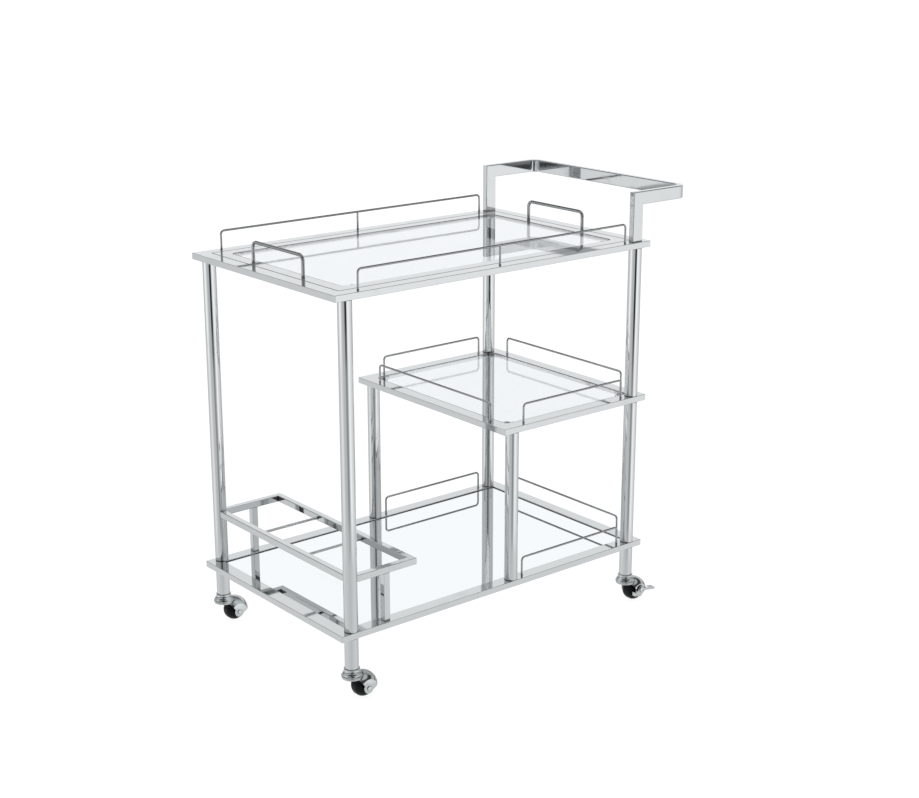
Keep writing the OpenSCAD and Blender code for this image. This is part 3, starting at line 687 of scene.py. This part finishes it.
# %% Cups and wheels
# The cup's profile is (radius, height) in millimetres, first from its underside and then from its top.
cup_low, cup_high = box_of("caster_cups")
rim = (cup_high[0] - post_centres["handle_front"][0]) / MM
CUP_HOLE = 5.2
skin = Skin()
for centre in post_centres.values():
    from_bottom = np.array([
        (CUP_HOLE, 0), (rim - 0.8, 0), (rim - 0.2, 0.3), (rim, 1.0), (rim, 2.0), (rim - 0.4, 2.6),
        (rim - 1.4, 3.0), (rim - 1.7, 3.6), (rim - 1.7, 5.2), (rim - 2.3, 6.6), (rim - 3.6, 8.4),
        (rim - 4.6, 10.6), (rim - 5.0, 12.6),
    ])
    from_top = np.array([
        (rim - 5.2, -2.0), (rim - 4.9, -1.4), (rim - 4.9, -0.5), (rim - 5.4, 0), (CUP_HOLE, 0),
    ])
    from_bottom, from_top = from_bottom * MM + [0, cup_low[2]], from_top * MM + [0, cup_high[2]]
    profile = np.vstack([from_bottom, from_top])
    skin.solid(turned(profile, (centre[0], centre[1], 0), 72))
skin.finish("bearing_cups", "cart", "chrome", pressed_chrome, "caster_cups", crease=50)

for corner in post_centres:
    low, high = box_of("wheel_" + corner)
    radius, half, centre = (high[2] - low[2]) / 2, (high[1] - low[1]) / 2, (low + high) / 2
    lift = np.linspace(-1, 1, 33)
    y = half * 0.97 * lift
    ball = np.sqrt((radius + 0.5 * MM) ** 2 - y**2)
    tread = radius - 0.12 * MM * np.exp(-((y / (0.5 * MM)) ** 2))
    r = np.minimum(ball, tread)
    side = [
        (2.6 * MM, half - 1.2 * MM), (4.8 * MM, half - 1.2 * MM),
        (5.2 * MM, half - 3.4 * MM), (8.6 * MM, half - 3.4 * MM), (9.4 * MM, half),
    ]
    profile = [(a, -b) for a, b in side] + list(zip(r, y)) + side[::-1]
    skin = Skin()
    skin.solid(turned(profile, centre, 72, "Y"))
    wheel = "wheel_" + corner
    skin.finish("ball_" + wheel, wheel, "black_wheel", black_plastic, wheel, crease=35)
print("cups and 4 wheels")

# %% [markdown]
# ## Hoods, levers, axles and rivets
# These are pressed and turned parts whose exact shape the CAD already holds. Their visible skins are
# copies of the CAD meshes with the loose triangles welded and every edge broken by a small round, as
# a press leaves them.

# %% Pressed parts from the CAD
PRESSED_CREASE = 32


def pressed(node, body, slot, material, radius):
    """A welded copy of a CAD node with its edges rounded by `radius`."""
    mesh = frame["nodes"][node].data.copy()
    mesh.name = "part_" + node
    tidy(mesh, PRESSED_CREASE)
    piece = bpy.data.objects.new("part_" + node, mesh)
    settle(piece, body, slot, material, node)
    rounder = piece.modifiers.new("edge", "BEVEL")
    rounder.width, rounder.segments = radius, 2
    rounder.limit_method, rounder.angle_limit = "ANGLE", np.radians(PRESSED_CREASE)
    rounder.harden_normals = True
    return piece


for corner in post_centres:
    pressed("hood_" + corner, "caster_" + corner, "chrome", pressed_chrome, 0.35 * MM)
    pressed("axle_" + corner, "caster_" + corner, "bright_steel", zinc, 0.4 * MM)
for side in ("front", "back"):
    pressed("brake_lever_" + side, "brake_" + side, "chrome", pressed_chrome, 0.3 * MM)
    pressed("brake_rivet_" + side, "caster_handle_" + side, "bright_steel", zinc, 0.4 * MM)
print("pressed parts in place")

# %% [markdown]
# ## What stays as the CAD drew it
# Studs, plugs, stems, balls, screws, pads and the shelf's corner tabs are small or hidden. They keep
# their CAD meshes and only take on the right finish.

# %% Finishes for the CAD nodes that stay
finishes = {
    "chrome": chrome, "clear_glass": clear_glass, "mirror": mirror_glass,
    "black_wheel": black_plastic, "bright_steel": zinc, "clear_pads": clear_pad,
}
slots = {row["node"]: row["material_slot"] for row in frame["record"]["subparts"]}
for node, item in frame["nodes"].items():
    item.data.materials.clear()
    item.data.materials.append(finishes[slots[node]])
kept = [n for n, o in frame["nodes"].items() if not o.hide_render]
print("kept from the CAD:", kept)

# %% [markdown]
# ## Floor and light
# Chrome shows nothing but its surroundings, so the light is built for its reflections. The sky is a
# studio drawn by direction alone, so every post shows the same streaks however far it stands from the
# next. To the sides and behind the camera there is a dark zone just above the horizon, which draws thin
# dark lines along every wire and rounded edge. Below the horizon, bright and grey stripes follow one
# another round the compass, with one narrow black stripe on the camera's side. They stand for lamps,
# walls and the dark gap between them, mirrored in a glossy floor. There are three sets, one below the
# other, and each is softer than the one above it, so the streaks on a post fade towards its foot.
# The floor and the backdrop are seen by the eye and through the glass, but not in the chrome.

# %% Floor and backdrop
def stage_piece(name, points, faces, shade, glow):
    """A white surface for the stage, faintly mottled; glow is its own brightness."""
    mesh = bpy.data.meshes.new(name)
    mesh.from_pydata(np.asarray(points, float).tolist(), [], faces)
    piece = bpy.data.objects.new(name, mesh)
    bpy.context.scene.collection.objects.link(piece)
    finish = Finish(name + "_paint", Roughness=0.9, Emission_Color=(1, 1, 1, 1), Emission_Strength=glow)
    mottle = finish.noise(3, 2)
    colour = finish.blend(mottle, (shade,) * 3 + (1,), (0.97 * shade,) * 3 + (1,))
    mesh.materials.append(finish.set(Base_Color=colour))
    piece.visible_glossy = False
    piece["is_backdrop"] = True
    return piece


REACH = 30
square = np.array([(-1, -1), (1, -1), (1, 1), (-1, 1)]) * REACH
stage_piece("floor", np.column_stack([square, np.zeros(4)]), [(0, 1, 2, 3)], 0.25, 0.93)
walls = np.vstack([np.column_stack([square, np.full(4, z)]) for z in (-0.01, REACH)])
sides = [(k, (k + 1) % 4, 4 + (k + 1) % 4, 4 + k) for k in range(4)]
backdrop = stage_piece("backdrop", walls, sides + [(4, 5, 6, 7)], 0.0, 1.1)
backdrop.visible_diffuse = backdrop.visible_shadow = False

# %% The studio, drawn by direction
CAMERA_ANGLE = np.arctan2(camera.location[1], camera.location[0])
UPPER_STRIPES = [
    (-180, 0.55), (-134, 0.70), (-101, 0.88), (-76, 1.45), (-55, 1.04), (-36, 0.69), (-6, 0.62), (2, 0.06),
    (7, 0.03), (20, 0.03), (27, 0.12), (36, 1.15), (55, 1.35), (79, 1.12), (101, 0.97), (134, 0.6),
    (180, 0.55),
]
MIDDLE_STRIPES = [
    (-180, 0.55), (-134, 0.70), (-101, 0.86), (-76, 1.14), (-55, 0.98), (-36, 0.72), (-6, 0.70), (2, 0.40),
    (20, 0.38), (27, 0.50), (36, 0.95), (55, 1.35), (79, 1.08), (101, 0.97), (134, 0.6), (180, 0.55),
]
LOWER_STRIPES = [
    (-180, 0.55), (-134, 0.72), (-101, 0.9), (-36, 0.8), (0, 0.72), (36, 0.8), (79, 0.9), (134, 0.7),
    (180, 0.55),
]
BAND_STRIPES = [
    (-180, 0.99), (-150, 0.99), (-135, 0.6), (-60, 0.7), (-14, 0.5), (-6, 0.1), (12, 0.1), (22, 0.55),
    (60, 0.7), (110, 0.6), (150, 0.99), (180, 0.99),
]
BRIGHTEST = 1.45


class Sky(Finish):
    """The world's node tree, filled with the same calls as a finish. Its place is a direction."""

    def __init__(self, name):
        world = bpy.data.worlds.new(name)
        bpy.context.scene.world = world
        world.use_nodes = True
        self.tree = world.node_tree
        self.tree.nodes.clear()
        self.output = self.tree.nodes.new("ShaderNodeOutputWorld")
        self.shader = self.tree.nodes.new("ShaderNodeBackground")
        self.tree.links.new(self.shader.outputs[0], self.output.inputs[0])
        self.place = self.node("ShaderNodeTexCoord", {}, {})["Generated"]

    def stripes(self, turn, brightness):
        """Brightness by angle: turn runs from 0 to 1 for -180 to 180 degrees."""
        stops = [((angle + 180) / 360, (level / BRIGHTEST,) * 3 + (1,)) for angle, level in brightness]
        return self.node("ShaderNodeValToRGB", {"stops": stops}, {0: turn})[0]

    def mix(self, mask, first, second):
        """The first number where the mask is 0 and the second where it is 1."""
        return first + mask * (second - first)


sky = Sky("studio")
parts = sky.node("ShaderNodeSeparateXYZ", {}, {0: sky.place})
toward = float(np.cos(CAMERA_ANGLE)) * parts["X"] + float(np.sin(CAMERA_ANGLE)) * parts["Y"]
rightward = -float(np.sin(CAMERA_ANGLE)) * parts["X"] + float(np.cos(CAMERA_ANGLE)) * parts["Y"]
turn = 0.5 + (1 / (2 * np.pi)) * toward.sum_node("ARCTAN2", rightward, toward)
height = parts["Z"]
upper, middle, lower = (sky.stripes(turn, s) for s in (UPPER_STRIPES, MIDDLE_STRIPES, LOWER_STRIPES))
low_down = sky.mix(sky.step(height, -0.385, -0.345), lower, middle)
below = sky.mix(sky.step(height, -0.28, -0.24), low_down, upper)
away = sky.step(toward, -0.6, -0.8)
dark_zone = sky.step(height, 0.44, 0.52) * (1 - sky.step(height, 0.78, 0.88)) * (1 - 0.6 * away)
horizon = sky.step(height, -0.05, -0.01) * (1 - sky.step(height, 0.07, 0.11))
band = sky.stripes(turn, BAND_STRIPES) * (1 - 0.85 * horizon)
above = sky.mix(sky.step(height, 0.40, 0.5), band, 0.48 - 0.43 * dark_zone)
level = sky.mix(sky.step(height, -0.05, 0.0), below, above)
sky.join((0.985, 1.0, 1.005, 1), sky.shader.inputs["Color"])
sky.join(BRIGHTEST * level, sky.shader.inputs["Strength"])
bpy.context.scene.view_settings.view_transform = "Standard"
print("floor, backdrop and a striped studio of", len(UPPER_STRIPES), "stops")

# %% Finish
low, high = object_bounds()
print("visual box", [round(v, 4) for v in low], [round(v, 4) for v in high])
